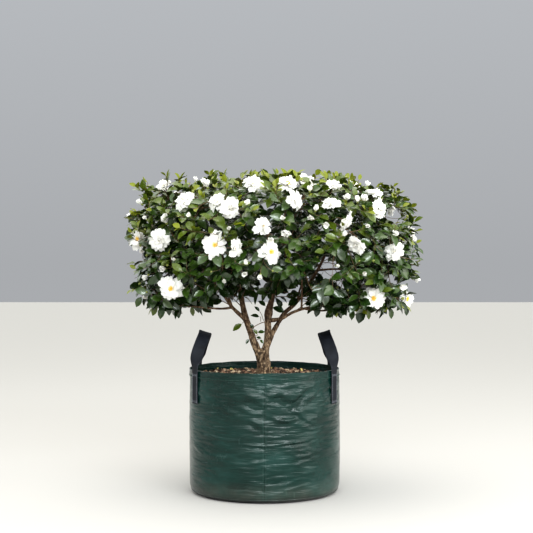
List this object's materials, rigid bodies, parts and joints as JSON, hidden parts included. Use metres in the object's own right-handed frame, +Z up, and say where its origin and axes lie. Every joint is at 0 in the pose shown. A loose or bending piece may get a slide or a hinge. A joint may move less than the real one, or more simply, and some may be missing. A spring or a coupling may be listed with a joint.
{
  "type": "camellia shrub in a woven planter bag",
  "caption": "Low, broad flowering shrub on a short forked trunk, standing in a round woven planter bag with two web loop handles.",
  "frame": {"origin": "centre of the bag's flat underside, on the surface that it stands on", "axes": "+Z up, -Y towards the viewer of the shrub's front, +X to that viewer's right"},
  "size_m": [0.9769, 0.7715, 1.0558],
  "materials": {
    "woven_bag": "satin",
    "webbing": "matte",
    "potting_mix": "matte",
    "bark": "matte",
    "foliage": "satin"
  },
  "bodies": {
    "root": {"bag": "woven_bag", "potting_mix": "potting_mix", "handle_left": "webbing", "handle_right": "webbing", "trunk": "bark", "bough_left": "bark", "bough_centre": "bark", "bough_right": "bark", "bough_outer_left": "bark", "bough_right_low": "bark", "branch_low_left": "bark", "branch_low_right": "bark", "branch_far_right": "bark", "branch_top_left": "bark", "branch_upper_front_left": "bark", "branch_upper_back_right": "bark", "branch_front_left": "bark", "branch_front_right": "bark", "branch_back_left": "bark", "branch_back_right": "bark", "foliage_in_fork": "foliage", "foliage_top_left": "foliage", "foliage_top_front_left": "foliage", "foliage_top_back_left": "foliage", "foliage_top_front_right": "foliage", "foliage_top_back_right": "foliage", "foliage_top_right": "foliage", "foliage_left": "foliage", "foliage_low_left": "foliage", "foliage_front_left": "foliage", "foliage_front_right": "foliage", "foliage_back_left": "foliage", "foliage_back_right": "foliage", "foliage_right": "foliage", "foliage_low_front_right": "foliage", "foliage_low_right": "foliage"}
  },
  "joints": []
}
